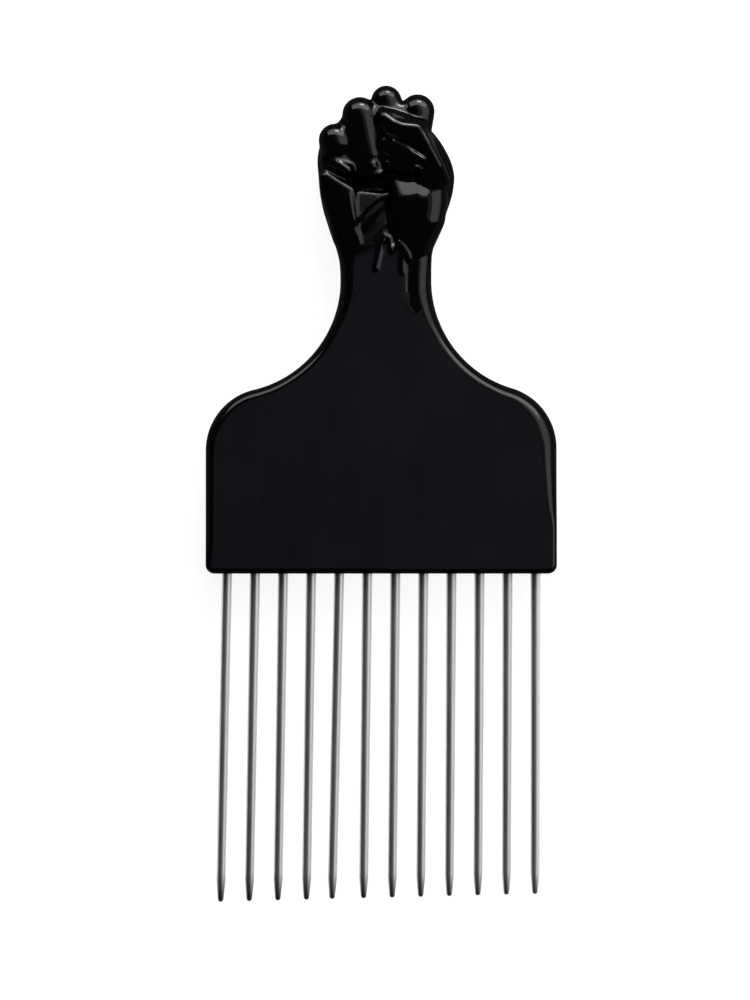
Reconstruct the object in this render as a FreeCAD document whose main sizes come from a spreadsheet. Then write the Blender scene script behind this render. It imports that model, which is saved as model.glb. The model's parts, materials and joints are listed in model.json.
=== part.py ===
"""Afro pick: a moulded plastic handle, a flat blade that narrows to a neck and ends in a clenched fist,
with a row of steel tines moulded into the blade's lower edge.

The pick lies on its flat back. X runs across the blade, Y along the pick towards the fist, and Z up
out of the blade's front. The origin is under the middle of the whole pick, on the plane of its back.
Lengths are millimetres and angles degrees. Rise is a distance above the neck, the narrowest part.
"""

import FreeCAD, Part
import math
import os

import Sketcher

# Driving dimensions

SIZES = {
    # The blade, a flat plate with rounded shoulders that sweep in to the neck
    "blade_thickness": 8.0,
    "blade_edge_radius": 1.5,
    "blade_corner_radius": 1.8,
    "blade_shoulder_radius": 12.6,
    "blade_flare_radius": 22.7,
    "neck_width": 18.4,
    "neck_height": 59.3,
    "neck_offset": 0.95,
    "neck_tongue": 7.0,
    # The palm, the core of the fist
    "palm_corner_radius": 3.3,
    # The tines, drawn steel wire with a slow taper and a blunt point
    "tine_count": 12,
    "tine_pitch": 5.68,
    "tine_margin": 4.26,
    "tine_root_diameter": 2.0,
    "tine_end_diameter": 1.66,
    "tine_tip_diameter": 0.95,
    "tine_point_length": 4.5,
    "tine_reach_left": 66.5,
    "tine_reach_right": 64.9,
    "tine_lean_left": -1.1,
    "tine_lean_right": -0.1,
    "tine_seat_depth": 14.0,
    # One tine that has been bent a little further than its neighbours, by its place in the row
    "stray_tine": 5,
    "stray_lean": -0.5,
    # Two ring grooves on each buried root, which the plastic fills
    "groove_width": 0.8,
    "groove_depth": 0.25,
    "groove_spacing": 2.4,
    "groove_end_gap": 1.6,
    # The least flat that a rounding leaves beside it
    "least_flat": 0.1,
}

# Cross-sections of the palm, from inside the blade up to the knuckles. Each has its step up from the
# one before, its overhang past the neck on the left and right, its floor above the pick's back, and
# its swell above the blade's front.
PALM_AXES = ("step", "left", "right", "floor", "swell")
PALM_SECTIONS = {
    "palm_buried": (-6.0, -0.85, -0.95, 0.25, -0.8),
    "palm_wrist": (9.2, -0.1, -0.05, 0.25, -0.1),
    "palm_heel": (7.8, 2.25, 1.75, 0.25, 0.7),
    "palm_middle": (8.5, 4.05, 4.05, 0.25, 1.3),
    "palm_grip": (7.5, 3.65, 2.05, 0.4, 1.4),
    "palm_crown": (8.0, -2.65, -1.15, 1.8, 0.4),
}

# Joints of the hand. Each has its distance to the right of the neck's middle, its rise, its height
# above the blade's front, or above the back for a knuckle, and the radius of the flesh around it.
JOINT_AXES = ("across", "rise", "height", "radius")
FRONT_JOINTS = {
    "little_bend": (-10.05, 27.8, 2.0, 3.6),
    "little_tip": (-8.05, 24.9, 3.2, 2.65),
    "ring_bend": (-5.45, 33.3, 2.2, 3.45),
    "ring_tip": (-3.45, 23.7, 3.2, 2.75),
    "middle_bend": (0.21, 36.25, 1.9, 2.95),
    "middle_tip": (2.05, 24.1, 2.1, 2.8),
    "index_bend": (6.4, 33.9, 2.1, 3.5),
    "index_tip": (5.6, 23.4, 1.9, 3.0),
    "thumb_tip": (0.45, 30.2, 5.0, 2.0),
    "thumb_joint": (7.3, 27.8, 4.1, 3.3),
    "thumb_root": (10.25, 20.7, 1.4, 3.7),
    "thumb_base": (6.5, 8.0, -2.6, 3.5),
    "ball_top": (4.6, 15.5, -0.8, 5.0),
    "ball_base": (4.4, 7.5, -3.4, 4.0),
    "heel_top": (-10.2, 17.8, -0.5, 3.7),
    "heel_base": (-7.05, 8.1, -2.6, 3.4),
}
BACK_JOINTS = {
    "little_knuckle": (-9.75, 27.0, 3.8, 3.45),
    "ring_knuckle": (-5.15, 32.0, 3.75, 3.4),
    "middle_knuckle": (0.25, 34.8, 3.6, 3.25),
    "index_knuckle": (5.75, 32.6, 3.85, 3.5),
}

# Segments of the hand, each between two joints
HAND_SEGMENTS = {
    "little_finger": ("little_bend", "little_tip"),
    "little_back": ("little_bend", "little_knuckle"),
    "ring_finger": ("ring_bend", "ring_tip"),
    "ring_back": ("ring_bend", "ring_knuckle"),
    "middle_finger": ("middle_bend", "middle_tip"),
    "middle_back": ("middle_bend", "middle_knuckle"),
    "index_finger": ("index_bend", "index_tip"),
    "index_back": ("index_bend", "index_knuckle"),
    "thumb_end": ("thumb_tip", "thumb_joint"),
    "thumb_middle": ("thumb_joint", "thumb_root"),
    "thumb_flank": ("thumb_root", "thumb_base"),
    "thumb_ball": ("ball_top", "ball_base"),
    "hand_heel": ("heel_top", "heel_base"),
}

# Places that several pieces share, as expressions over the sheet

HALF_WIDTH = "((Sizes.tine_count - 1) * Sizes.tine_pitch / 2 + Sizes.tine_margin)"
NECK_LEFT = "(Sizes.neck_width / 2 - Sizes.neck_offset)"
NECK_RIGHT = "(Sizes.neck_width / 2 + Sizes.neck_offset)"
FIST_TOP = "(Sizes.neck_height + Sizes.middle_bend_rise + Sizes.middle_bend_radius)"
LOWER_EDGE = f"((Sizes.tine_reach_left - {FIST_TOP}) / 2)"
TINE_LEVEL = "Sizes.blade_thickness / 2"

# Names of the sketch solver's own points and axes

START, END, CENTRE = 1, 2, 3
ORIGIN = (-1, START)
LEVEL_AXIS, UPRIGHT_AXIS = -1, -2


def fill_sheet(doc):
    """The sheet of driving dimensions, one alias to a cell."""
    values = dict(SIZES)
    tables = ((PALM_AXES, PALM_SECTIONS), (JOINT_AXES, FRONT_JOINTS), (JOINT_AXES, BACK_JOINTS))
    for axes, table in tables:
        for name, numbers in table.items():
            values.update((f"{name}_{axis}", value) for axis, value in zip(axes, numbers))
    sheet = doc.addObject("Spreadsheet::Sheet", "Sizes")
    for row, (alias, value) in enumerate(values.items(), start=1):
        sheet.set(f"A{row}", alias)
        sheet.set(f"B{row}", str(value))
        sheet.setAlias(f"B{row}", alias)
    doc.recompute()


def number(expression):
    """The present value of an expression over the sheet."""
    value = FreeCAD.ActiveDocument.getObject("Sizes").evalExpression(expression)
    return float(getattr(value, "Value", value))


def new_body(doc, label):
    body = doc.addObject("PartDesign::Body", label)
    body.Label = label
    return body


def new_sketch(body, name, role):
    """A sketch on one of the body's own origin planes."""
    plane = next(feature for feature in body.Origin.OriginFeatures if feature.Role == role)
    sketch = body.newObject("Sketcher::SketchObject", name)
    sketch.AttachmentSupport = [(plane, "")]
    sketch.MapMode = "FlatFace"
    return sketch


def line(start, end):
    return Part.LineSegment(FreeCAD.Vector(*start, 0), FreeCAD.Vector(*end, 0))


def arc(centre, radius, first, last):
    """An arc that runs anticlockwise from the first angle to the last."""
    circle = Part.Circle(FreeCAD.Vector(*centre, 0), FreeCAD.Vector(0, 0, 1), radius)
    return Part.ArcOfCircle(circle, math.radians(first), math.radians(last))


def tie(sketch, kind, *places):
    """One constraint of the given kind on each of the places."""
    for place in places:
        sketch.addConstraint(Sketcher.Constraint(kind, *place))


def size(sketch, name, kind, place, expression):
    """A named dimension of a sketch, bound to the sheet."""
    index = sketch.addConstraint(Sketcher.Constraint(kind, *place, number(expression)))
    sketch.renameConstraint(index, name)
    sketch.setExpression(f"Constraints.{name}", expression)


def turn(body, kind, sketch, name):
    """A full turn of a sketch about its upright axis, as a solid or as a groove."""
    feature = body.newObject(f"PartDesign::{kind}", name)
    feature.Profile = sketch
    feature.ReferenceAxis = (sketch, ["V_Axis"])
    feature.Angle = 360
    return feature


# The blade

def blade_outline(body):
    """A straight lower edge, two sides, round shoulders and the neck. On each side one arc sweeps from
    the shoulder to the upright neck and meets both without a corner."""
    half, corner = number(HALF_WIDTH), number("Sizes.blade_corner_radius")
    shoulder, flare = number("Sizes.blade_shoulder_radius"), number("Sizes.blade_flare_radius")
    neck, top = number("Sizes.neck_height"), number("Sizes.neck_height + Sizes.neck_tongue")
    left, right = number(NECK_LEFT), number(NECK_RIGHT)

    def shoulder_place(neck_side):
        """Height of a shoulder's centre, and the angle above level where it meets the sweep."""
        across = neck_side + flare - (half - shoulder)
        up = math.sqrt((shoulder + flare) ** 2 - across**2)
        return neck - up, math.degrees(math.atan2(up, across))

    right_level, right_turn = shoulder_place(right)
    left_level, left_turn = shoulder_place(left)
    sketch = new_sketch(body, "blade_outline", "XY_Plane")
    sketch.addGeometry(
        [
            line((corner - half, 0), (half - corner, 0)),
            arc((half - corner, corner), corner, 270, 360),
            line((half, corner), (half, right_level)),
            arc((half - shoulder, right_level), shoulder, 0, right_turn),
            arc((right + flare, neck), flare, 180, 180 + right_turn),
            line((right, neck), (right, top)),
            line((right, top), (-left, top)),
            line((-left, top), (-left, neck)),
            arc((-left - flare, neck), flare, 360 - left_turn, 360),
            arc((shoulder - half, left_level), shoulder, 180 - left_turn, 180),
            line((-half, left_level), (-half, corner)),
            arc((corner - half, corner), corner, 180, 270),
        ],
        False,
    )
    lower, right_corner, right_side, right_shoulder, right_sweep, right_neck = range(6)
    tongue, left_neck, left_sweep, left_shoulder, left_side, left_corner = range(6, 12)
    tie(
        sketch,
        "Tangent",
        (lower, END, right_corner, START),
        (right_corner, END, right_side, START),
        (right_side, END, right_shoulder, START),
        (right_shoulder, END, right_sweep, END),
        (right_sweep, START, right_neck, START),
        (left_neck, END, left_sweep, END),
        (left_sweep, START, left_shoulder, START),
        (left_shoulder, END, left_side, START),
        (left_side, END, left_corner, START),
        (left_corner, END, lower, START),
    )
    tie(sketch, "Coincident", (right_neck, END, tongue, START), (tongue, END, left_neck, START))
    tie(sketch, "Horizontal", (lower,), (tongue,), (right_sweep, CENTRE, left_sweep, CENTRE))
    tie(sketch, "Vertical", (right_side,), (right_neck,), (left_neck,), (left_side,))
    tie(sketch, "Equal", (right_corner, left_corner), (right_shoulder, left_shoulder))
    tie(sketch, "Equal", (right_sweep, left_sweep))
    tie(sketch, "PointOnObject", (lower, START, LEVEL_AXIS))
    size(sketch, "corner", "Radius", (right_corner,), "Sizes.blade_corner_radius")
    size(sketch, "shoulder", "Radius", (right_shoulder,), "Sizes.blade_shoulder_radius")
    size(sketch, "sweep", "Radius", (right_sweep,), "Sizes.blade_flare_radius")
    size(sketch, "right_half", "DistanceX", (*ORIGIN, right_side, START), HALF_WIDTH)
    size(sketch, "left_half", "DistanceX", (left_side, END, *ORIGIN), HALF_WIDTH)
    size(sketch, "right_of_neck", "DistanceX", (*ORIGIN, right_neck, START), NECK_RIGHT)
    size(sketch, "left_of_neck", "DistanceX", (left_neck, START, *ORIGIN), NECK_LEFT)
    size(sketch, "neck", "DistanceY", (*ORIGIN, right_neck, START), "Sizes.neck_height")
    size(sketch, "tongue", "DistanceY", (right_neck, START, right_neck, END), "Sizes.neck_tongue")
    return sketch


def make_blade(doc):
    """The flat plate, with all edges of its front and back rounded."""
    body = new_body(doc, "blade")
    plate = body.newObject("PartDesign::Pad", "blade_plate")
    plate.Profile = blade_outline(body)
    plate.setExpression("Length", "Sizes.blade_thickness")
    doc.recompute()
    rims = []
    for place, edge in enumerate(plate.Shape.Edges, start=1):
        if edge.BoundBox.ZLength < number("Sizes.least_flat"):
            rims.append(f"Edge{place}")
    rounding = body.newObject("PartDesign::Fillet", "blade_rounding")
    rounding.Base = (plate, rims)
    corner_room = "Sizes.blade_corner_radius - Sizes.least_flat"
    depth_room = "(Sizes.blade_thickness - Sizes.least_flat) / 2"
    rounding.setExpression("Radius", f"min(Sizes.blade_edge_radius; {corner_room}; {depth_room})")
    body.setExpression("Placement.Base.y", LOWER_EDGE)
    return body


# The fist

def palm_section(body, name, level):
    """One rounded cross-section of the palm, square to the pick's length."""
    roof_cells = f"(Sizes.blade_thickness + Sizes.{name}_swell)"
    floor_cells = f"Sizes.{name}_floor"
    corner_room = f"({roof_cells} - {floor_cells} - Sizes.least_flat) / 2"
    corner_cells = f"min(Sizes.palm_corner_radius; {corner_room})"
    left_cells = f"{NECK_LEFT} + Sizes.{name}_left"
    right_cells = f"{NECK_RIGHT} + Sizes.{name}_right"
    left, right, corner = number(left_cells), number(right_cells), number(corner_cells)
    floor, roof = number(floor_cells), number(roof_cells)
    sketch = new_sketch(body, f"{name}_section", "XZ_Plane")
    sketch.setExpression("AttachmentOffset.Base.z", f"-({level})")
    sketch.addGeometry(
        [
            line((corner - left, floor), (right - corner, floor)),
            arc((right - corner, floor + corner), corner, 270, 360),
            line((right, floor + corner), (right, roof - corner)),
            arc((right - corner, roof - corner), corner, 0, 90),
            line((right - corner, roof), (corner - left, roof)),
            arc((corner - left, roof - corner), corner, 90, 180),
            line((-left, roof - corner), (-left, floor + corner)),
            arc((corner - left, floor + corner), corner, 180, 270),
        ],
        False,
    )
    under, low_right, right_side, high_right, over, high_left, left_side, low_left = range(8)
    around = (under, low_right, right_side, high_right, over, high_left, left_side, low_left, under)
    for edge, following in zip(around, around[1:]):
        tie(sketch, "Tangent", (edge, END, following, START))
    tie(sketch, "Horizontal", (under,), (over,))
    tie(sketch, "Vertical", (left_side,), (right_side,))
    tie(sketch, "Equal", (low_right, high_right), (low_right, high_left), (low_right, low_left))
    size(sketch, "corner", "Radius", (low_right,), corner_cells)
    size(sketch, "left", "DistanceX", (left_side, START, *ORIGIN), left_cells)
    size(sketch, "right", "DistanceX", (*ORIGIN, right_side, START), right_cells)
    size(sketch, "floor", "DistanceY", (*ORIGIN, under, START), floor_cells)
    size(sketch, "roof", "DistanceY", (*ORIGIN, over, START), roof_cells)
    return sketch


def make_palm(doc):
    """The core of the fist, lofted from inside the blade's neck up to the knuckles."""
    body = new_body(doc, "palm")
    level = "Sizes.neck_height"
    sections = []
    for name in PALM_SECTIONS:
        level += f" + Sizes.{name}_step"
        sections.append(palm_section(body, name, level))
    doc.recompute()
    loft = body.newObject("PartDesign::AdditiveLoft", "palm_loft")
    loft.Profile = sections[0]
    loft.Sections = sections[1:]
    body.setExpression("Placement.Base.y", LOWER_EDGE)
    return body


def joint_place(joint):
    """A joint's place in the pick's frame, as three expressions."""
    base = "Sizes.blade_thickness" if joint in FRONT_JOINTS else "0"
    return (
        f"Sizes.neck_offset + Sizes.{joint}_across",
        f"{LOWER_EDGE} + Sizes.neck_height + Sizes.{joint}_rise",
        f"{base} + Sizes.{joint}_height",
    )


def make_segment(doc, label, first, last):
    """One segment of the hand, turned in one piece: a ball at each joint and a cone that joins them."""
    near = FreeCAD.Vector(*map(number, joint_place(first)))
    far = FreeCAD.Vector(*map(number, joint_place(last)))
    near_radius, far_radius = number(f"Sizes.{first}_radius"), number(f"Sizes.{last}_radius")
    span = (far - near).Length
    lean = math.degrees(math.asin((near_radius - far_radius) / span))
    near_ball, far_ball = arc((0, 0), near_radius, -90, lean), arc((0, span), far_radius, lean, 90)
    body = new_body(doc, label)
    sketch = new_sketch(body, f"{label}_profile", "XY_Plane")
    sketch.addGeometry(
        [
            near_ball,
            Part.LineSegment(near_ball.EndPoint, far_ball.StartPoint),
            far_ball,
            line((0, span + far_radius), (0, -near_radius)),
        ],
        False,
    )
    near_end, flank, far_end, spine = range(4)
    tie(sketch, "Tangent", (near_end, END, flank, START), (flank, END, far_end, START))
    tie(sketch, "Coincident", (far_end, END, spine, START), (spine, END, near_end, START))
    tie(sketch, "Coincident", (near_end, CENTRE, *ORIGIN))
    for place in ((far_end, CENTRE), (spine, START), (spine, END)):
        tie(sketch, "PointOnObject", (*place, UPRIGHT_AXIS))
    steps = [f"({a} - ({b}))^2" for a, b in zip(joint_place(first), joint_place(last))]
    size(sketch, "near_radius", "Radius", (near_end,), f"Sizes.{first}_radius")
    size(sketch, "far_radius", "Radius", (far_end,), f"Sizes.{last}_radius")
    size(sketch, "span", "DistanceY", (*ORIGIN, far_end, CENTRE), f"sqrt({' + '.join(steps)})")
    turn(body, "Revolution", sketch, f"{label}_turned")
    body.Placement.Rotation = FreeCAD.Rotation(FreeCAD.Vector(0, 1, 0), far - near)
    for axis, expression in zip("xyz", joint_place(first)):
        body.setExpression(f"Placement.Base.{axis}", expression)
    return body


# The tines

def along_row(left, right, place):
    """An expression that runs evenly from the left tine's value to the right tine's."""
    return f"(Sizes.{left} + (Sizes.{right} - Sizes.{left}) * {place - 1} / (Sizes.tine_count - 1))"


def tine_profile(body, name, reach_cells):
    """Half of a tine's length section: the buried root, the slow taper and the blunt point."""
    root, end = number("Sizes.tine_root_diameter / 2"), number("Sizes.tine_end_diameter / 2")
    tip, seat = number("Sizes.tine_tip_diameter / 2"), number("Sizes.tine_seat_depth")
    shank_cells = f"{reach_cells} - Sizes.tine_point_length"
    reach, shank = number(reach_cells), number(shank_cells)
    sketch = new_sketch(body, name, "XY_Plane")
    sketch.addGeometry(
        [
            line((0, seat), (root, seat)),
            line((root, seat), (root, 0)),
            line((root, 0), (end, -shank)),
            line((end, -shank), (tip, tip - reach)),
            arc((0, tip - reach), tip, 270, 360),
            line((0, -reach), (0, seat)),
        ],
        False,
    )
    top, buried, taper, point, dome, spine = range(6)
    tie(sketch, "Coincident", (spine, END, top, START), (top, END, buried, START))
    tie(sketch, "Coincident", (buried, END, taper, START), (taper, END, point, START))
    tie(sketch, "Coincident", (point, END, dome, END), (dome, START, spine, START))
    tie(sketch, "Horizontal", (top,), (dome, CENTRE, dome, END))
    tie(sketch, "Vertical", (buried,))
    tie(sketch, "PointOnObject", (buried, END, LEVEL_AXIS))
    for place in ((spine, START), (spine, END), (dome, CENTRE)):
        tie(sketch, "PointOnObject", (*place, UPRIGHT_AXIS))
    size(sketch, "seat", "DistanceY", (*ORIGIN, buried, START), "Sizes.tine_seat_depth")
    size(sketch, "root", "DistanceX", (*ORIGIN, buried, END), "Sizes.tine_root_diameter / 2")
    size(sketch, "end", "DistanceX", (*ORIGIN, taper, END), "Sizes.tine_end_diameter / 2")
    size(sketch, "tip", "Radius", (dome,), "Sizes.tine_tip_diameter / 2")
    size(sketch, "reach", "DistanceY", (spine, START, *ORIGIN), reach_cells)
    size(sketch, "shank", "DistanceY", (taper, END, *ORIGIN), shank_cells)
    return sketch


def groove_profile(body, name, ring):
    """Section of a ring groove, a box that bites into the root from outside."""
    inner_cells = "Sizes.tine_root_diameter / 2 - Sizes.groove_depth"
    outer_cells = "Sizes.tine_root_diameter / 2 + Sizes.groove_depth"
    high_cells = f"Sizes.tine_seat_depth - Sizes.groove_end_gap - {ring} * Sizes.groove_spacing"
    inner, outer, high = number(inner_cells), number(outer_cells), number(high_cells)
    low = high - number("Sizes.groove_width")
    sketch = new_sketch(body, name, "XY_Plane")
    corners = [(inner, low), (outer, low), (outer, high), (inner, high), (inner, low)]
    sketch.addGeometry([line(*ends) for ends in zip(corners, corners[1:])], False)
    under, outside, over, inside = range(4)
    tie(sketch, "Coincident", (under, END, outside, START), (outside, END, over, START))
    tie(sketch, "Coincident", (over, END, inside, START), (inside, END, under, START))
    tie(sketch, "Horizontal", (under,), (over,))
    tie(sketch, "Vertical", (inside,), (outside,))
    size(sketch, "inner", "DistanceX", (*ORIGIN, under, START), inner_cells)
    size(sketch, "outer", "DistanceX", (*ORIGIN, under, END), outer_cells)
    size(sketch, "high", "DistanceY", (*ORIGIN, over, END), high_cells)
    size(sketch, "width", "DistanceY", (outside, START, outside, END), "Sizes.groove_width")
    return sketch


def make_tine(doc, place):
    """One tine, which leans about the point where it leaves the middle of the blade's lower edge."""
    label = f"tine_{place:02d}"
    body = new_body(doc, label)
    reach_cells = along_row("tine_reach_left", "tine_reach_right", place)
    turn(body, "Revolution", tine_profile(body, f"{label}_profile", reach_cells), f"{label}_turned")
    doc.recompute()
    for ring in range(2):
        profile = groove_profile(body, f"{label}_groove_{ring}_profile", ring)
        turn(body, "Groove", profile, f"{label}_groove_{ring}")
        doc.recompute()
    lean = number(along_row("tine_lean_left", "tine_lean_right", place))
    if place == round(number("Sizes.stray_tine")):
        lean += number("Sizes.stray_lean")
    body.Placement.Rotation = FreeCAD.Rotation(FreeCAD.Vector(0, 0, 1), lean)
    middle = "(Sizes.tine_count + 1) / 2"
    body.setExpression("Placement.Base.x", f"({place} - {middle}) * Sizes.tine_pitch")
    body.setExpression("Placement.Base.y", LOWER_EDGE)
    body.setExpression("Placement.Base.z", TINE_LEVEL)
    return body


# The assembly

def make_handle(doc, tines):
    """The one-piece moulding, blade, palm and fingers together, shaped around the tines' own roots."""
    flesh = [make_segment(doc, label, *joints) for label, joints in HAND_SEGMENTS.items()]
    moulding = doc.addObject("Part::MultiFuse", "moulding")
    moulding.Shapes = [make_blade(doc), make_palm(doc), *flesh]
    inserts = doc.addObject("Part::Compound", "inserts")
    inserts.Links = tines
    handle = doc.addObject("Part::Cut", "handle")
    handle.Label = "handle"
    handle.Base = moulding
    handle.Tool = inserts
    return handle


def check(doc, pieces):
    """Stops with a message if an object failed or a piece isn't one sound solid."""
    for thing in doc.Objects:
        if "Invalid" in thing.State or "Error" in thing.State:
            raise RuntimeError(f"{thing.Label} failed: {thing.State}")
    for piece in pieces:
        shape = piece.Shape
        if shape.isNull() or not shape.isValid() or len(shape.Solids) != 1:
            raise RuntimeError(f"{piece.Label} isn't one sound solid")


def main():
    doc = FreeCAD.newDocument("afro_pick")
    fill_sheet(doc)
    tines = [make_tine(doc, place) for place in range(1, round(number("Sizes.tine_count")) + 1)]
    handle = make_handle(doc, tines)
    doc.recompute()
    pieces = [handle, *tines]
    check(doc, pieces)
    os.makedirs("parts", exist_ok=True)
    for piece in pieces:
        piece.Shape.exportStep(os.path.join("parts", f"{piece.Label}.step"))


main()
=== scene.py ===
import json
import math

import bmesh
import bpy
import numpy as np
from mathutils import Matrix, Vector
from mathutils.bvhtree import BVHTree
from mathutils.geometry import intersect_point_line


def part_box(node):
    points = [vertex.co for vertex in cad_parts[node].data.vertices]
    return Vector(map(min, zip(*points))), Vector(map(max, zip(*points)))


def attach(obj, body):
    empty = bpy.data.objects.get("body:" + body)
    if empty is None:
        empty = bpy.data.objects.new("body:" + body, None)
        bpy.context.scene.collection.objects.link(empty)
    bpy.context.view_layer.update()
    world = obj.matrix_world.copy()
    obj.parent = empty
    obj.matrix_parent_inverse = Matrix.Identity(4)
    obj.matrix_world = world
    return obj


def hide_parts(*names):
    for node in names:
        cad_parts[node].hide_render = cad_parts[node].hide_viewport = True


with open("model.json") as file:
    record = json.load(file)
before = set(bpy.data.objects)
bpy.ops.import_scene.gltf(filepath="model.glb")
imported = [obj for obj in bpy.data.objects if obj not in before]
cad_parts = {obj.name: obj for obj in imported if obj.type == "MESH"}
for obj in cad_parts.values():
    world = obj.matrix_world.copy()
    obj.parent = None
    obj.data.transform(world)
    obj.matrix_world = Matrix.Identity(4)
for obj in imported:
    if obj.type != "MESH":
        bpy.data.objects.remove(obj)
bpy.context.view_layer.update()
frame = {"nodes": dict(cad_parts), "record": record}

scene = bpy.context.scene

# The blade: the flat lower half of the one black moulding, with round shoulders that draw in to a neck.
# Its edges are rounded by the mould, more at the shoulders than at the sides, and its flat faces are satin.
# It is drawn in millimetres and goes up into the palm, where the fist takes over.
MM = 0.001
merge_gap = 0.001
mounts = {mount["name"]: mount["pos_m"] for mount in frame["record"]["mounts"]}
handle_low, handle_high = (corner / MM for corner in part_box("handle"))
blade_front = mounts["front_face"][2] / MM
neck_middle = mounts["neck_grip"][0] / MM
neck_line = mounts["neck_grip"][1] / MM
blade_half = handle_high.x
blade_low = handle_low.y
corner_radius = 1.8
shoulder_radius = 12.6
shoulder_out = blade_half - shoulder_radius
flare_radius = 22.7
neck_half = 9.2
wrist_right = ((10.15, 46.0), (10.25, 48.4), (10.65, 50.2), (10.8, 51.9), (9.8, 54.1))
wrist_left = ((-8.6, 54.1), (-9.5, 52.6), (-9.45, 50.8), (-8.95, 49.2), (-8.5, 47.4), (-8.3, 45.4))
arc_step = 1.8
side_step = 2.0

# How wide the edge is rounded at each height, and how deep it may go at the neck and the wrist.
left_rounding = ((-14, 1.1), (-10, 1.6), (8, 1.7), (17, 2.1), (24, 1.8), (34, 1.9), (40, 2.5), (44, 2.7),
                 (56, 2.4))
right_rounding = ((-14, 1.0), (-6, 1.0), (-2, 2.0), (6, 2.7), (13, 3.3), (18, 3.0), (23, 2.2), (33, 2.2),
                  (37, 2.6), (41, 3.0), (44, 3.0), (49, 3.0), (55, 2.4))
rounding_segments = 24
rounding_depth = 1.45
deepest_rounding = ((42, 3.8), (50, 2.4))

# A shallow polished channel runs down the right of the neck to a point, inside these cuts.
channel_side = 4.9
channel_point = Vector((6.5, 36.0, 0))
channel_cuts = (
    (Vector((channel_side, 40, 0)), Vector((1, 0, 0))),
    (channel_point, Vector((0.8, 0.6, 0))),
    (channel_point, Vector((-0.62, 0.78, 0))),
    (Vector((channel_side, 47.5, 0)), Vector((0, -1, 0))),
)
channel_lip = 0.45
channel_depth = 0.22

# The handle has two finishes, by the order of its materials.
gloss_index = 0
satin_index = 1


def only(items, kind):
    """The items of one kind, such as the edges, out of what an operator gives back."""
    return [item for item in items if isinstance(item, kind)]


def line_to(trace, last, x, y, step):
    """Carry the outline on in a straight line, in steps, and give back its new end."""
    start = last.co.copy()
    steps = max(1, round((Vector((x, y, 0)) - start).length / step))
    for count in range(1, steps + 1):
        last = bmesh.ops.extrude_vert_indiv(trace, verts=[last])["verts"][0]
        last.co = start.lerp(Vector((x, y, 0)), count / steps)
    return last


def arc_about(trace, last, x, y, degrees):
    """Carry the outline on round a centre, anticlockwise for a positive angle."""
    steps = max(2, round(abs(degrees) / arc_step))
    swept = bmesh.ops.spin(trace, geom=[last], cent=(x, y, 0), axis=(0, 0, 1),
                           angle=math.radians(degrees), steps=steps, use_duplicate=False)
    return only(swept["geom_last"], bmesh.types.BMVert)[0]


def flare_at(side):
    """The flare's centre on one side of the neck, its turn, and the height of the shoulder's centre."""
    reach = shoulder_radius + flare_radius
    flare_x = neck_middle + side * (neck_half + flare_radius)
    lean = math.acos((side * flare_x - shoulder_out) / reach)
    return flare_x, math.degrees(lean), neck_line - reach * math.sin(lean)


def rounding_at(x, y):
    """How wide the mould rounds the blade's edge at a place on its outline."""
    heights, widths = zip(*(right_rounding if x > neck_middle else left_rounding))
    return float(np.interp(y, heights, widths))


trace = bmesh.new()
place = trace.verts.layers.int.new("place")
last = trace.verts.new((corner_radius - blade_half, blade_low, 0))
last = line_to(trace, last, blade_half - corner_radius, blade_low, side_step)
last = arc_about(trace, last, blade_half - corner_radius, blade_low + corner_radius, 90)
flare_x, lean, shoulder_y = flare_at(1)
last = line_to(trace, last, blade_half, shoulder_y, side_step)
last = arc_about(trace, last, shoulder_out, shoulder_y, lean)
last = arc_about(trace, last, flare_x, neck_line, -lean)
for x, y in wrist_right + wrist_left:
    last = line_to(trace, last, x, y, side_step)
last = line_to(trace, last, neck_middle - neck_half, neck_line, side_step)
flare_x, lean, shoulder_y = flare_at(-1)
last = arc_about(trace, last, flare_x, neck_line, -lean)
last = arc_about(trace, last, -shoulder_out, shoulder_y, lean)
last = line_to(trace, last, -blade_half, blade_low + corner_radius, side_step)
arc_about(trace, last, corner_radius - blade_half, blade_low + corner_radius, 90)
bmesh.ops.remove_doubles(trace, verts=trace.verts, dist=merge_gap)

# The outline's points in order, and the way in from each.
outline = [next(iter(trace.verts))]
while len(outline) < len(trace.verts):
    beside = [edge.other_vert(outline[-1]) for edge in outline[-1].link_edges]
    outline.append(next(vert for vert in beside if vert not in outline[-2:-1]))
spots = [vert.co.copy() for vert in outline]
inward = []
for count in range(len(spots)):
    ahead = spots[(count + 1) % len(spots)] - spots[count - 1]
    inward.append(Vector((-ahead.y, ahead.x, 0)).normalized())
if inward[0].y < 0:
    inward = [-way for way in inward]
for count, vert in enumerate(outline):
    vert[place] = count

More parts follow.
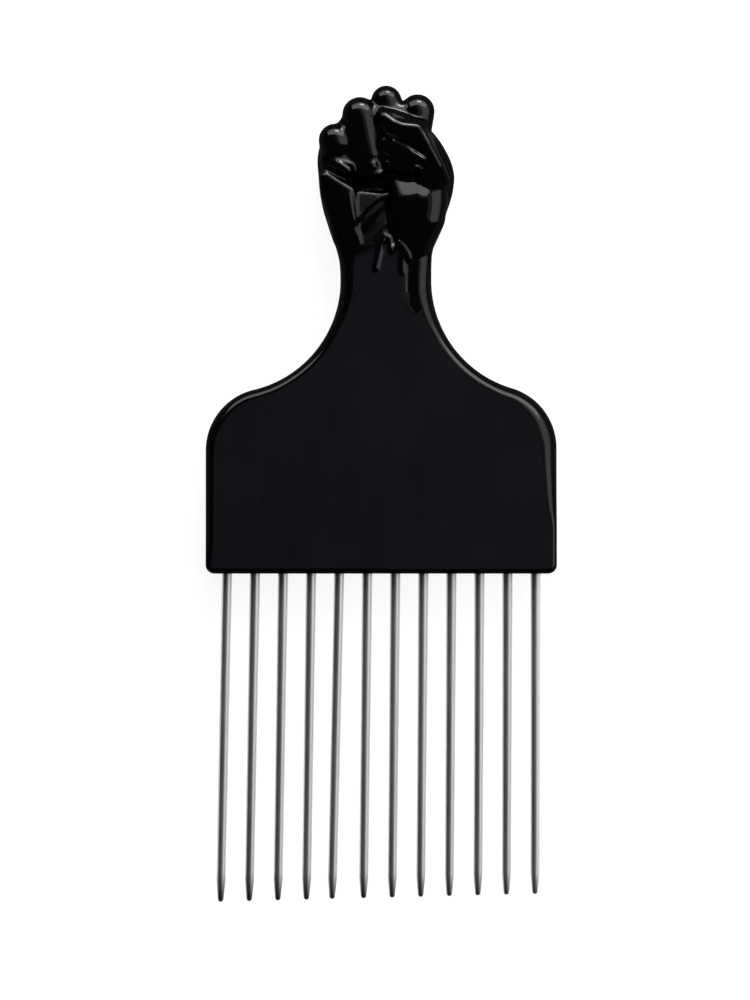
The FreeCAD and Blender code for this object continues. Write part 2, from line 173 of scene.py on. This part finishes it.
# Each side grows from the outline ring by ring, round the edge to the flat face.
rim = trace.edges[:]
for side in (1, -1):
    loop = rim
    for step in range(rounding_segments + 1):
        turn = math.pi / 2 * step / rounding_segments
        grown = bmesh.ops.extrude_edge_only(trace, edges=loop)["geom"]
        for vert in only(grown, bmesh.types.BMVert):
            spot = spots[vert[place]]
            width = rounding_at(spot.x, spot.y)
            depth = min(rounding_depth * width, np.interp(spot.y, *zip(*deepest_rounding)))
            vert.co = spot + inward[vert[place]] * width * (1 - math.cos(turn))
            vert.co.z = side * (blade_front / 2 - depth * (1 - math.sin(turn)))
        loop = [edge for edge in only(grown, bmesh.types.BMEdge)
                if edge.is_boundary and edge.verts[0][place] != edge.verts[1][place]]
    flat = bmesh.ops.contextual_create(trace, geom=loop)["faces"][0]
    flat.material_index = satin_index
    flat.normal_update()
    if side == 1:
        if flat.normal.z < 0:
            flat.normal_flip()
        cut = [flat, *flat.edges, *flat.verts]
        for spot, way in channel_cuts:
            cut = bmesh.ops.bisect_plane(trace, geom=cut, plane_co=spot, plane_no=way)["geom"]
        channel = []
        for face in only(cut, bmesh.types.BMFace):
            middle = face.calc_center_median()
            if all((middle - spot).dot(way) > 0 for spot, way in channel_cuts):
                channel.append(face)
        walls = bmesh.ops.inset_region(trace, faces=channel, thickness=channel_lip,
                                       depth=-channel_depth)["faces"]
        for face in channel + walls:
            face.material_index = gloss_index
bmesh.ops.translate(trace, verts=trace.verts, vec=(0, 0, blade_front / 2))
bmesh.ops.recalc_face_normals(trace, faces=trace.faces)
bmesh.ops.triangulate(trace, faces=[face for face in trace.faces if len(face.verts) > 4])
blade_mesh = bpy.data.meshes.new("blade")
trace.to_mesh(blade_mesh)
trace.free()

# The fist: a clenched right hand seen from the palm, the upper half of the same black moulding.
# The palm is a rounded plate, and the fingers, thumb and pads of the hand are round forms run into it.
# It is modelled as a carver models clay, then joined to the blade at the neck as one closed skin.
palm_outline = ((-6.0, 49.6), (-9.15, 50.4), (-10.15, 52.5), (-10.75, 54.3), (-11.9, 58.2), (-12.65, 63.7),
                (-12.55, 70.0), (-10.5, 73.5), (-5.5, 75.5), (1, 77), (8.0, 75.5), (10.3, 73.4), (13.0, 69.6),
                (14.55, 65.8), (14.75, 63.0), (13.0, 56.4), (12.0, 54.2), (11.1, 52.1), (10.55, 50.5),
                (7.0, 49.6))
palm_back = 0.4
palm_front = 8.2
palm_rounding = 2.4
palm_segments = 6

# Each form is drawn over balls, given by their middles in millimetres and their radii.
forms = {
    "little_finger": ((-9.3, 71.4, 9.9, 3.35), (-9.1, 69.6, 9.0, 3.3), (-8.8, 67.6, 8.4, 3.0)),
    "little_tip": ((-10.3, 67.1, 9.2, 2.2), (-6.9, 65.6, 9.8, 2.1), (-9.0, 68.6, 9.0, 2.4)),
    "ring_finger": ((-4.3, 76.5, 10.1, 3.6), (-3.9, 69.2, 9.2, 3.2), (-2.3, 68.8, 9.9, 2.3)),
    "ring_tip": ((-3.6, 66.0, 9.0, 2.4), (-1.8, 66.1, 9.2, 2.4), (-3.0, 68.5, 9.0, 2.8)),
    "middle_finger": ((1.0, 79.4, 9.4, 3.05), (2.2, 73.0, 8.8, 3.0)),
    "index_finger": ((7.3, 77.2, 9.4, 3.5), (6.8, 73.0, 8.8, 3.3)),
    "tucked_tips": ((2.4, 70.2, 9.6, 2.6), (7.6, 69.6, 9.4, 2.6), (2.7, 67.5, 9.3, 2.4),
                    (8.8, 66.2, 9.0, 2.4)),
    "finger_roots": ((-9.0, 70.2, 8.8, 3.0), (-5.0, 74.8, 9.4, 3.0), (-1.6, 76.3, 9.7, 2.7),
                     (1.0, 77.2, 9.5, 2.8), (4.2, 76.6, 9.7, 2.7), (7.0, 75.4, 9.2, 3.0),
                     (7.0, 69.0, 8.6, 3.0), (-2.0, 67.0, 8.6, 2.5), (-6.5, 72.6, 9.6, 2.9)),
    "web": ((5.0, 65.2, 9.0, 2.0), (8.6, 64.6, 9.0, 2.0)),
    "thumb_edge": ((1.4, 70.6, 10.6, 2.4), (7.8, 66.8, 10.2, 2.4)),
    "thumb_end": ((0.4, 75.6, 11.9, 1.9), (2.0, 73.4, 11.7, 1.9), (4.5, 73.2, 12.5, 2.6),
                  (5.2, 71.7, 11.4, 2.1), (6.4, 72.9, 12.3, 2.8), (8.0, 70.0, 11.3, 2.2),
                  (0.4, 77.0, 12.3, 0.9), (4.2, 75.4, 13.0, 0.9), (8.2, 74.5, 12.9, 0.9)),
    "thumb_middle": ((7.4, 73.3, 13.7, 1.3), (9.4, 70.0, 14.0, 1.0), (11.5, 66.2, 12.4, 1.0),
                     (12.7, 63.2, 9.6, 1.2), (8.2, 70.2, 11.4, 2.2), (9.4, 65.4, 9.9, 2.2),
                     (8.3, 73.4, 8.0, 1.4), (10.2, 69.8, 7.0, 1.5), (12.2, 66.0, 6.0, 1.5),
                     (12.8, 63.2, 5.0, 1.5), (10.6, 60.6, 7.6, 2.4), (8.8, 62.0, 8.2, 2.2)),
    "ball": ((5.6, 58.6, 6.7, 5.0), (3.0, 64.0, 7.9, 1.6), (7.4, 64.0, 8.1, 1.6), (9.2, 59.6, 7.4, 4.3),
             (8.6, 56.0, 7.0, 4.4), (5.8, 48.0, 4.6, 3.6), (0.9, 58.5, 5.2, 2.8), (1.5, 54.0, 5.0, 2.6)),
    "heel": ((-11.1, 63.9, 9.9, 1.5), (-6.5, 60.9, 10.3, 1.6), (-6.8, 60.0, 10.2, 1.5),
             (-6.2, 56.4, 9.5, 1.4), (-4.6, 50.0, 7.4, 1.4), (-10.8, 61.0, 9.0, 1.6), (-7.4, 51.0, 6.0, 2.0)),
    "palm_slope": ((-6.4, 60.6, 10.0, 1.0), (-5.8, 56.4, 9.4, 1.0), (-4.2, 50.2, 7.9, 1.0),
                   (0.6, 60.0, 8.6, 1.0), (0.6, 55.0, 8.1, 1.0), (-0.6, 51.0, 7.35, 1.0)),
    "little_back": ((-9.1, 71.1, 9.0, 3.35), (-8.8, 70.3, 4.0, 3.35)),
    "ring_back": ((-4.5, 76.4, 9.0, 3.4), (-4.2, 75.3, 4.0, 3.4)),
    "middle_back": ((1.1, 79.2, 9.0, 3.1), (1.2, 78.1, 3.8, 3.2)),
    "index_back": ((7.3, 77.0, 9.0, 3.4), (6.7, 75.9, 4.0, 3.5)),
}

# Each stroke has its path on the front, its half width and how far it lifts or presses the clay.
strokes = {
    "little_roll": (((-9.8, 66.9), (-8.4, 66.3), (-6.7, 65.1)), 1.5, 0.7),
    "ring_roll": (((-2.0, 66.1), (-1.7, 66.2)), 1.5, 0.5),
    "valley": (((-4.5, 63.6), (-1.0, 64.0), (3.5, 65.4), (7.5, 65.2)), 1.4, 0.8),
    "ring_fold": (((1.2, 66.6), (0.6, 65.2), (-0.7, 63.7), (-3.2, 63.2)), 0.8, 0.5),
    "thumb_bar": (((2.4, 70.9), (5.0, 69.4), (8.2, 67.3)), 1.0, 1.1),
    "thumb_lip": (((0.6, 76.2), (2.3, 74.7), (4.2, 74.1), (7.4, 73.9)), 1.4, 0.38),
    "palm_line": (((-6.5, 60.0), (-6.0, 57.4), (-5.2, 54.0), (-4.4, 50.4)), 1.0, 0.35),
    "palm_crease": (((0.4, 58.9), (-2.2, 56.6), (-4.6, 53.8)), 1.7, -0.5),
    "ball_dip": (((8.6, 64.0), (8.8, 61.0)), 1.5, -0.25),
    "ball_rise": (((9.9, 63.0), (11.9, 61.5)), 1.6, 0.35),
    "left_tendon": (((-1.1, 45.6), (-0.5, 48.2), (0.1, 50.6), (0.9, 52.1), (1.6, 51.8), (2.1, 49.2)),
                    0.8, 0.6),
    "right_tendon": (((2.1, 49.2), (2.5, 50.0), (3.5, 50.8), (4.5, 49.8), (5.4, 48.4), (5.6, 47.4)),
                     0.8, 0.6),
    "wrist_bead": (((4.2, 48.0), (4.3, 45.0)), 1.0, 0.4),
}

# The satin of the flat face runs up the wrist to this border, between the tendons.
satin_border = ((-5.75, 40.0), (-5.7, 41.0), (-5.6, 46.0), (-5.2, 48.6), (-4.5, 50.1), (-3.4, 50.9),
                (-2.2, 51.4), (-1.2, 51.0), (-1.4, 48.6), (-1.8, 46.2), (-1.5, 45.2), (-0.5, 44.8),
                (-0.1, 46.4), (0.4, 48.6), (0.8, 50.2), (1.15, 51.0), (1.4, 50.6), (1.7, 48.8), (2.2, 48.2),
                (2.7, 49.0), (3.3, 49.7), (3.6, 49.2), (3.4, 47.6), (3.4, 45.2), (3.8, 44.2),
                (channel_side, 44.0), (channel_side, 40.0))
satin_facing = 0.7
clay_line = 30.0
cut_line = 41.0
rim_line = 40.7
blend_height = 5.0
voxel = 0.23
clay_smoothing = 18
stroke_smoothing = 5


def shaped(mesh, modifiers):
    """The mesh with modifiers applied, given as (kind, settings) pairs."""
    holder = bpy.data.objects.new("holder", mesh)
    scene.collection.objects.link(holder)
    for kind, settings in modifiers:
        modifier = holder.modifiers.new(kind.lower(), kind)
        for setting, value in settings.items():
            setattr(modifier, setting, value)
    depsgraph = bpy.context.evaluated_depsgraph_get()
    result = bpy.data.meshes.new_from_object(holder.evaluated_get(depsgraph))
    bpy.data.objects.remove(holder)
    return result


def cut_across(shape, height, **cleared):
    """Cut a shape across at a height and clear away one side of the cut."""
    everything = shape.verts[:] + shape.edges[:] + shape.faces[:]
    bmesh.ops.bisect_plane(shape, geom=everything, plane_co=(0, height, 0), plane_no=(0, 1, 0), **cleared)


def flesh(mass, balls):
    """Put in a form drawn tight over a few balls, as skin is over joints."""
    form = bmesh.new()
    for x, y, z, radius in balls:
        bmesh.ops.create_icosphere(form, subdivisions=4, radius=radius, matrix=Matrix.Translation((x, y, z)))
    hull = bmesh.ops.convex_hull(form, input=form.verts[:])
    bmesh.ops.delete(form, geom=only(hull["geom_interior"], bmesh.types.BMVert), context="VERTS")
    bmesh.ops.recalc_face_normals(form, faces=form.faces)
    mesh = bpy.data.meshes.new("form")
    form.to_mesh(mesh)
    form.free()
    mass.from_mesh(mesh)
    bpy.data.meshes.remove(mesh)


def draw_stroke(points, path, width, lift):
    """Draw a modelling tool along a path on the front of the clay, which raises or presses it as it goes."""
    flat = points[:, :2]
    away = np.full(len(points), np.inf)
    for start, end in zip(path, path[1:]):
        start = np.array(start)
        run = np.array(end) - start
        share = np.clip((flat - start) @ run / (run @ run), 0, 1)
        away = np.minimum(away, np.linalg.norm(flat - start - share[:, None] * run, axis=1))
    touch = np.clip(1 - (away / width) ** 2, 0, 1) ** 2
    points[:, 2] += lift * touch * (points[:, 2] > palm_front - palm_rounding)


def turn_at(vert):
    """How far round the neck a vertex lies."""
    return math.atan2(vert.co.z - blade_front / 2, vert.co.x - neck_middle)


def zip_rims(part, low_rim, high_rim):
    """Close the gap between two rims of the neck with triangles, taking the next vertex round each time."""
    low_rim.sort(key=turn_at)
    high_rim.sort(key=turn_at)
    low_turns = [turn_at(vert) for vert in low_rim] + [turn_at(low_rim[0]) + 2 * math.pi]
    high_turns = [turn_at(vert) for vert in high_rim] + [turn_at(high_rim[0]) + 2 * math.pi]
    low, high = 0, 0
    while low < len(low_rim) or high < len(high_rim):
        corners = [low_rim[low % len(low_rim)], high_rim[high % len(high_rim)]]
        if high == len(high_rim) or (low < len(low_rim) and low_turns[low + 1] < high_turns[high + 1]):
            low += 1
            corners.append(low_rim[low % len(low_rim)])
        else:
            high += 1
            corners.append(high_rim[high % len(high_rim)])
        part.faces.new(corners)


def in_satin(spot):
    """Whether a place on the front lies inside the satin's border on the wrist."""
    hit = satin_sheet.ray_cast(Vector((spot.x, spot.y, 1)), Vector((0, 0, -1)))
    return hit[0] is not None


def nearest_on_border(spot):
    """The nearest place to a point on the satin's border, seen from the front."""
    flat = Vector((spot.x, spot.y, 0))
    corners = [Vector((x, y, 0)) for x, y in satin_border]
    near = []
    for start, end in zip(corners, corners[1:]):
        share = intersect_point_line(flat, start, end)[1]
        near.append(start.lerp(end, min(1, max(0, share))))
    return min(near, key=lambda place: (place - flat).length)


# The palm's plate is a filled curve with a rounded edge.
curve = bpy.data.curves.new("palm_outline", "CURVE")
curve.dimensions = "2D"
curve.fill_mode = "BOTH"
curve.bevel_depth = palm_rounding
curve.offset = -palm_rounding
curve.extrude = (palm_front - palm_back) / 2 - palm_rounding
curve.bevel_resolution = palm_segments
spline = curve.splines.new("BEZIER")
spline.bezier_points.add(len(palm_outline) - 1)
spline.use_cyclic_u = True
for point, (x, y) in zip(spline.bezier_points, palm_outline):
    point.co = (x, y, 0)
    point.handle_left_type = "AUTO"
    point.handle_right_type = "AUTO"
drawn = bpy.data.objects.new("palm_outline", curve)
scene.collection.objects.link(drawn)
depsgraph = bpy.context.evaluated_depsgraph_get()
palm_mesh = bpy.data.meshes.new_from_object(drawn.evaluated_get(depsgraph))
bpy.data.objects.remove(drawn)

# The plate, the top of the blade and the forms run together into one mass of clay.
mass = bmesh.new()
mass.from_mesh(palm_mesh)
bmesh.ops.translate(mass, verts=mass.verts, vec=(0, 0, (palm_front + palm_back) / 2))
bmesh.ops.remove_doubles(mass, verts=mass.verts, dist=merge_gap)
mass.from_mesh(blade_mesh)
cut_across(mass, clay_line, clear_inner=True)
bmesh.ops.holes_fill(mass, edges=[edge for edge in mass.edges if edge.is_boundary])
for balls in forms.values():
    flesh(mass, balls)
clay = bpy.data.meshes.new("fist_clay")
mass.to_mesh(clay)
mass.free()
fist_mesh = shaped(clay, [("REMESH", {"mode": "VOXEL", "voxel_size": voxel}),
                          ("SMOOTH", {"factor": 0.5, "iterations": clay_smoothing})])
skin_points = np.empty(3 * len(fist_mesh.vertices), np.float32)
fist_mesh.vertices.foreach_get("co", skin_points)
skin_points = skin_points.reshape(-1, 3)
for path, width, lift in strokes.values():
    draw_stroke(skin_points, path, width, lift)
fist_mesh.vertices.foreach_set("co", skin_points.ravel())
fist_mesh = shaped(fist_mesh, [("SMOOTH", {"factor": 0.5, "iterations": stroke_smoothing})])

# Towards the cut the fist eases on to the blade's own surface, and a band closes the gap between them.
fist = bmesh.new()
fist.from_mesh(fist_mesh)
handle = bmesh.new()
handle.from_mesh(blade_mesh)
skin = BVHTree.FromBMesh(handle)
for vert in fist.verts:
    share = min(1, max(0, 1 - (vert.co.y - cut_line) / blend_height))
    if share > 0:
        vert.co = vert.co.lerp(skin.find_nearest(vert.co)[0], share * share * (3 - 2 * share))
cut_across(fist, cut_line, clear_inner=True)
cut_across(handle, rim_line, clear_outer=True)
handle_mesh = bpy.data.meshes.new("moulded_handle")
fist.to_mesh(handle_mesh)
handle.from_mesh(handle_mesh)
fist.free()
rims = [vert for vert in handle.verts if vert.is_boundary]
middle_line = (cut_line + rim_line) / 2
low_rim = [vert for vert in rims if vert.co.y < middle_line]
high_rim = [vert for vert in rims if vert.co.y > middle_line]
zip_rims(handle, low_rim, high_rim)
bmesh.ops.recalc_face_normals(handle, faces=handle.faces)
bmesh.ops.scale(handle, vec=(MM, MM, MM), verts=handle.verts)

# The satin's border is drawn on the wrist, and the vertices along it are moved on to it.
satin_sheet = BVHTree.FromPolygons([(x, y, 0) for x, y in satin_border], [list(range(len(satin_border)))])
for face in handle.faces:
    face.smooth = True
    middle = face.calc_center_median() / MM
    if middle.y > rim_line and face.normal.z > satin_facing and in_satin(middle):
        face.material_index = satin_index
for vert in handle.verts:
    finishes = {face.material_index for face in vert.link_faces}
    if len(finishes) == 2 and vert.co.y > cut_line * MM:
        border_spot = nearest_on_border(vert.co / MM) * MM
        vert.co.x = border_spot.x
        vert.co.y = border_spot.y
handle.to_mesh(handle_mesh)
handle.free()
moulded_handle = bpy.data.objects.new("moulded_handle", handle_mesh)
scene.collection.objects.link(moulded_handle)
moulded_handle.modifiers.new("flat_faces", "WEIGHTED_NORMAL").keep_sharp = True

# The handle's finish: black plastic as it leaves the mould, polished on the fist and the rounded edges.
# The flat faces carry the mould's satin texture. Faint grain, haze and drawn lines are shared with the steel.
gloss_low = (0.0008, 0.0008, 0.0009)
gloss_high = (0.0013, 0.0012, 0.0014)
gloss_coat_roughness = 0.12
gloss_rim_start = 0.17
gloss_rim_end = 0.33
gloss_rim_coat = 0.05
# The satin colours are partly painted sheen: lighter than the gloss black so that the flat faces look satin,
# with the plastic's own faint violet cast.
satin_painted_sheen_low = (0.0021, 0.0014, 0.0033)
satin_painted_sheen_high = (0.0053, 0.0030, 0.0086)
satin_specular = 0.19
haze_size = 70

surface = bpy.data.node_groups.new("surface_marks", "ShaderNodeTree")
surface.interface.new_socket("Size", in_out="INPUT", socket_type="NodeSocketFloat")
surface.interface.new_socket("Stretch", in_out="INPUT", socket_type="NodeSocketVector")
for mark in ("Grain", "Haze", "Lines"):
    surface.interface.new_socket(mark, in_out="OUTPUT", socket_type="NodeSocketFloat")
nodes = surface.nodes
links = surface.links
given = nodes.new("NodeGroupInput")
result = nodes.new("NodeGroupOutput")
surface_place = nodes.new("ShaderNodeTexCoord")
grain = nodes.new("ShaderNodeTexNoise")
grain.inputs["Detail"].default_value = 3
links.new(surface_place.outputs["Object"], grain.inputs["Vector"])
links.new(given.outputs["Size"], grain.inputs["Scale"])
links.new(grain.outputs["Fac"], result.inputs["Grain"])
haze = nodes.new("ShaderNodeTexNoise")
haze.inputs["Scale"].default_value = haze_size
haze.inputs["Detail"].default_value = 4
links.new(surface_place.outputs["Object"], haze.inputs["Vector"])
links.new(haze.outputs["Fac"], result.inputs["Haze"])
drawn_out = nodes.new("ShaderNodeVectorMath")
drawn_out.operation = "MULTIPLY"
links.new(surface_place.outputs["Object"], drawn_out.inputs[0])
links.new(given.outputs["Stretch"], drawn_out.inputs[1])
fine_lines = nodes.new("ShaderNodeTexNoise")
fine_lines.inputs["Scale"].default_value = 1
fine_lines.inputs["Detail"].default_value = 2
links.new(drawn_out.outputs["Vector"], fine_lines.inputs["Vector"])
links.new(fine_lines.outputs["Fac"], result.inputs["Lines"])


def marked(material, size, stretch):
    """Give a material the shared surface marks, and hand back its nodes, links and shader with them."""
    material.use_nodes = True
    tree = material.node_tree
    marks = tree.nodes.new("ShaderNodeGroup")
    marks.node_tree = surface
    marks.inputs["Size"].default_value = size
    marks.inputs["Stretch"].default_value = stretch
    return tree.nodes, tree.links, tree.nodes["Principled BSDF"], marks


def ranged(nodes, links, source, low, high, start=0.3, end=0.7):
    """A value that runs from low to high as the source runs from start to end."""
    span = nodes.new("ShaderNodeMapRange")
    span.inputs["From Min"].default_value = start
    span.inputs["From Max"].default_value = end
    span.inputs["To Min"].default_value = low
    span.inputs["To Max"].default_value = high
    links.new(source, span.inputs["Value"])
    return span.outputs["Result"]


def blended(nodes, links, source, first, second):
    """A colour that goes from the first to the second with the source."""
    mix = nodes.new("ShaderNodeMix")
    mix.data_type = "RGBA"
    mix.inputs["A"].default_value = (*first, 1)
    mix.inputs["B"].default_value = (*second, 1)
    links.new(source, mix.inputs["Factor"])
    return mix.outputs["Result"]


def bumped(nodes, links, source, strength, depth):
    """A surface normal roughened by the source."""
    bump = nodes.new("ShaderNodeBump")
    bump.inputs["Strength"].default_value = strength
    bump.inputs["Distance"].default_value = depth
    links.new(source, bump.inputs["Height"])
    return bump.outputs["Normal"]


# Polished plastic: the shine is a clear coat, which fades where the surface turns away to a dark rim.
gloss = bpy.data.materials.new("gloss_black")
nodes, links, shader, marks = marked(gloss, 1500, (400, 400, 400))
haze = ranged(nodes, links, marks.outputs["Haze"], 0, 1)
links.new(blended(nodes, links, haze, gloss_low, gloss_high), shader.inputs["Base Color"])
links.new(ranged(nodes, links, marks.outputs["Grain"], 0.25, 0.35), shader.inputs["Roughness"])
links.new(bumped(nodes, links, marks.outputs["Grain"], 0.1, 0.00002), shader.inputs["Normal"])
shader.inputs["Specular IOR Level"].default_value = 0
shader.inputs["Coat Roughness"].default_value = gloss_coat_roughness
facing = nodes.new("ShaderNodeLayerWeight")
facing.inputs["Blend"].default_value = 0.5
ease = nodes.new("ShaderNodeMapRange")
ease.interpolation_type = "SMOOTHSTEP"
ease.inputs["From Min"].default_value = gloss_rim_start
ease.inputs["From Max"].default_value = gloss_rim_end
ease.inputs["To Min"].default_value = 1
ease.inputs["To Max"].default_value = gloss_rim_coat
links.new(facing.outputs["Facing"], ease.inputs["Value"])
worn = nodes.new("ShaderNodeMath")
worn.operation = "MULTIPLY"
links.new(ease.outputs["Result"], worn.inputs[0])
links.new(ranged(nodes, links, marks.outputs["Haze"], 0.82, 1.0), worn.inputs[1])
links.new(worn.outputs[0], shader.inputs["Coat Weight"])
moulded_handle.data.materials.append(gloss)

# Satin plastic: the same black with a fine texture and a faint violet cast.
# Its base colour is lighter than the gloss black's. That is partly painted sheen, standing in for the light a
# satin face scatters, beside its own faint specular.
satin = bpy.data.materials.new("satin_black")
nodes, links, shader, marks = marked(satin, 2600, (900, 60, 60))
haze = ranged(nodes, links, marks.outputs["Haze"], 0, 1)
links.new(blended(nodes, links, haze, satin_painted_sheen_low, satin_painted_sheen_high), shader.inputs["Base Color"])
links.new(ranged(nodes, links, marks.outputs["Lines"], 0.46, 0.52), shader.inputs["Roughness"])
links.new(bumped(nodes, links, marks.outputs["Grain"], 0.25, 0.00003), shader.inputs["Normal"])
shader.inputs["Specular IOR Level"].default_value = satin_specular
moulded_handle.data.materials.append(satin)
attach(moulded_handle, "root")
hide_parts("handle")

# The tines: twelve straight wires of bright drawn steel that lift the hair.
# Their roots are moulded into the blade's lower edge, and their ends are ground to blunt points, whose colour
# darkens to a near-black grey.
# Each is turned about the axis of the solid that it stands for.
tine_root = 1.05
tine_end = 0.94
tine_tip = 0.55
tine_point = 4.4
tine_seat = 14.0
tine_segments = 24
tip_turns = (0, 0.3, 0.6, 0.9, 1.2, 1.45)
root_band = 0.1
tip_dark_start = -76.5
tip_dark_end = -81.5
steel_dark = (0.63, 0.62, 0.60)
steel_bright = (0.73, 0.715, 0.69)
tip_dark_grey = (0.10, 0.10, 0.096)
steel_metallic = 0.93

steel = bpy.data.materials.new("drawn_steel")
nodes, links, shader, marks = marked(steel, 2500, (2000, 30, 2000))
wire_place = nodes.new("ShaderNodeTexCoord")
wire_axes = nodes.new("ShaderNodeSeparateXYZ")
links.new(wire_place.outputs["Object"], wire_axes.inputs["Vector"])
# The steel's colour runs to a near-black grey over the last five millimetres towards each tip.
tip_share = ranged(nodes, links, wire_axes.outputs["Y"], 0, 1, tip_dark_start * MM, tip_dark_end * MM)
lines = ranged(nodes, links, marks.outputs["Lines"], 0, 1)
tip_darkened = nodes.new("ShaderNodeMix")
tip_darkened.data_type = "RGBA"
links.new(tip_share, tip_darkened.inputs["Factor"])
links.new(blended(nodes, links, lines, steel_dark, steel_bright), tip_darkened.inputs["A"])
tip_darkened.inputs["B"].default_value = (*tip_dark_grey, 1)
links.new(tip_darkened.outputs["Result"], shader.inputs["Base Color"])
shader.inputs["Metallic"].default_value = steel_metallic
links.new(ranged(nodes, links, marks.outputs["Haze"], 0.30, 0.40), shader.inputs["Roughness"])
links.new(bumped(nodes, links, marks.outputs["Lines"], 0.05, 0.00002), shader.inputs["Normal"])

for name, node in frame["nodes"].items():
    if not name.startswith("tine_"):
        continue
    solid_spots = [node.matrix_world @ vert.co / MM for vert in node.data.vertices]
    solid_spots.sort(key=lambda spot: spot.y)
    tip = solid_spots[0]
    root_spots = [spot for spot in solid_spots if spot.y > solid_spots[-1].y - root_band]
    run = sum(root_spots, Vector()) / len(root_spots) - tip
    profile = [(tine_tip * math.sin(turn), tine_tip * (1 - math.cos(turn))) for turn in tip_turns]
    profile.append((tine_end, tine_point))
    profile.append((tine_root, run.length - tine_seat))
    profile.append((tine_root, run.length))
    profile.append((0, run.length))
    wire = bmesh.new()
    last = None
    for out, up in profile:
        vert = wire.verts.new((out, 0, up))
        if last:
            wire.edges.new((last, vert))
        last = vert
    bmesh.ops.spin(wire, geom=wire.verts[:] + wire.edges[:], cent=(0, 0, 0), axis=(0, 0, 1),
                   angle=2 * math.pi, steps=tine_segments, use_merge=True)
    bmesh.ops.remove_doubles(wire, verts=wire.verts, dist=merge_gap)
    bmesh.ops.recalc_face_normals(wire, faces=wire.faces)
    bmesh.ops.rotate(wire, verts=wire.verts, matrix=Vector((0, 0, 1)).rotation_difference(run).to_matrix())
    bmesh.ops.translate(wire, verts=wire.verts, vec=tip)
    bmesh.ops.scale(wire, verts=wire.verts, vec=(MM, MM, MM))
    for face in wire.faces:
        face.smooth = True
    wire_mesh = bpy.data.meshes.new(f"wire_{name}")
    wire.to_mesh(wire_mesh)
    wire.free()
    wire_mesh.materials.append(steel)
    tine = bpy.data.objects.new(f"wire_{name}", wire_mesh)
    scene.collection.objects.link(tine)
    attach(tine, "root")
    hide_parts(name)

# The floor: a wide table top of plain white board, just under the back of the pick.
# It shows white to the eye and in reflections by its own glow, and keeps the pick's shadow.
floor_half = 4.0
floor_drop = 0.0003
floor_grey = (0.4, 0.4, 0.4)
floor_glow = (0.88, 0.88, 0.88)
sheet = bmesh.new()
bmesh.ops.create_grid(sheet, x_segments=1, y_segments=1, size=floor_half)
bmesh.ops.translate(sheet, verts=sheet.verts, vec=(0, 0, -floor_drop))
floor_mesh = bpy.data.meshes.new("floor")
sheet.to_mesh(floor_mesh)
sheet.free()
floor = bpy.data.objects.new("floor", floor_mesh)
scene.collection.objects.link(floor)
white = bpy.data.materials.new("white_table")
white.use_nodes = True
nodes = white.node_tree.nodes
links = white.node_tree.links
shader = nodes["Principled BSDF"]
shader.inputs["Base Color"].default_value = (*floor_grey, 1)
shader.inputs["Roughness"].default_value = 0.9
shader.inputs["Specular IOR Level"].default_value = 0
shader.inputs["Emission Color"].default_value = (*floor_glow, 1)
rays = nodes.new("ShaderNodeLightPath")
seen = nodes.new("ShaderNodeMath")
seen.operation = "MAXIMUM"
links.new(rays.outputs["Is Camera Ray"], seen.inputs[0])
links.new(rays.outputs["Is Glossy Ray"], seen.inputs[1])
through = nodes.new("ShaderNodeMath")
through.operation = "MAXIMUM"
links.new(seen.outputs[0], through.inputs[0])
links.new(rays.outputs["Is Transmission Ray"], through.inputs[1])
links.new(through.outputs[0], shader.inputs["Emission Strength"])
floor.data.materials.append(white)

# The light: soft panels in a dark room, each a rectangle that faces the pick.
# A wide one stands beyond the fist with a small bright lamp in it, and two dimmer ones on the right.
aim = Vector((0, 0.03, 0.005))
room_grey = (0.022, 0.022, 0.023)


def panel(name, azimuth, elevation, distance, width, height, radiance):
    """A soft panel that faces the pick, placed by its direction, with the light that it shows in a mirror."""
    lamp = bpy.data.lights.new(name, "AREA")
    lamp.shape = "RECTANGLE"
    lamp.size = width
    lamp.size_y = height
    lamp.energy = radiance * math.pi * width * height
    holder = bpy.data.objects.new(name, lamp)
    around = math.radians(azimuth)
    above = math.radians(elevation)
    level = math.cos(above)
    direction = Vector((math.cos(around) * level, math.sin(around) * level, math.sin(above)))
    holder.location = aim + direction * distance
    holder.rotation_euler = direction.to_track_quat("Z", "Y").to_euler()
    holder.visible_camera = False
    scene.collection.objects.link(holder)


panel("far_panel", azimuth=85, elevation=26, distance=0.9, width=2.0, height=0.76, radiance=2.5)
panel("far_lamp", azimuth=80, elevation=20, distance=0.85, width=0.3, height=0.16, radiance=16.0)
panel("right_panel", azimuth=20, elevation=30, distance=0.8, width=1.3, height=0.95, radiance=1.05)
panel("right_glow", azimuth=25, elevation=70, distance=0.8, width=0.9, height=0.3, radiance=0.22)
world = bpy.data.worlds.new("dark_room")
world.use_nodes = True
world.node_tree.nodes["Background"].inputs["Color"].default_value = (*room_grey, 1)
scene.world = world
scene.view_settings.view_transform = "Standard"

# The camera: straight above the pick on a long lens, with the fist at the top of the picture.
# It stands a little left of and below the middle, as the picture is framed.
camera_distance = 1.2
camera_x = -0.00126
camera_y = -0.00112
seen_height = 0.2018
lens = bpy.data.cameras.new("camera")
lens.sensor_fit = "VERTICAL"
lens.sensor_height = 36
lens.lens = lens.sensor_height * camera_distance / seen_height
lens.clip_end = 20
camera = bpy.data.objects.new("camera", lens)
camera.location = (camera_x, camera_y, camera_distance + blade_front * MM)
scene.collection.objects.link(camera)
scene.camera = camera
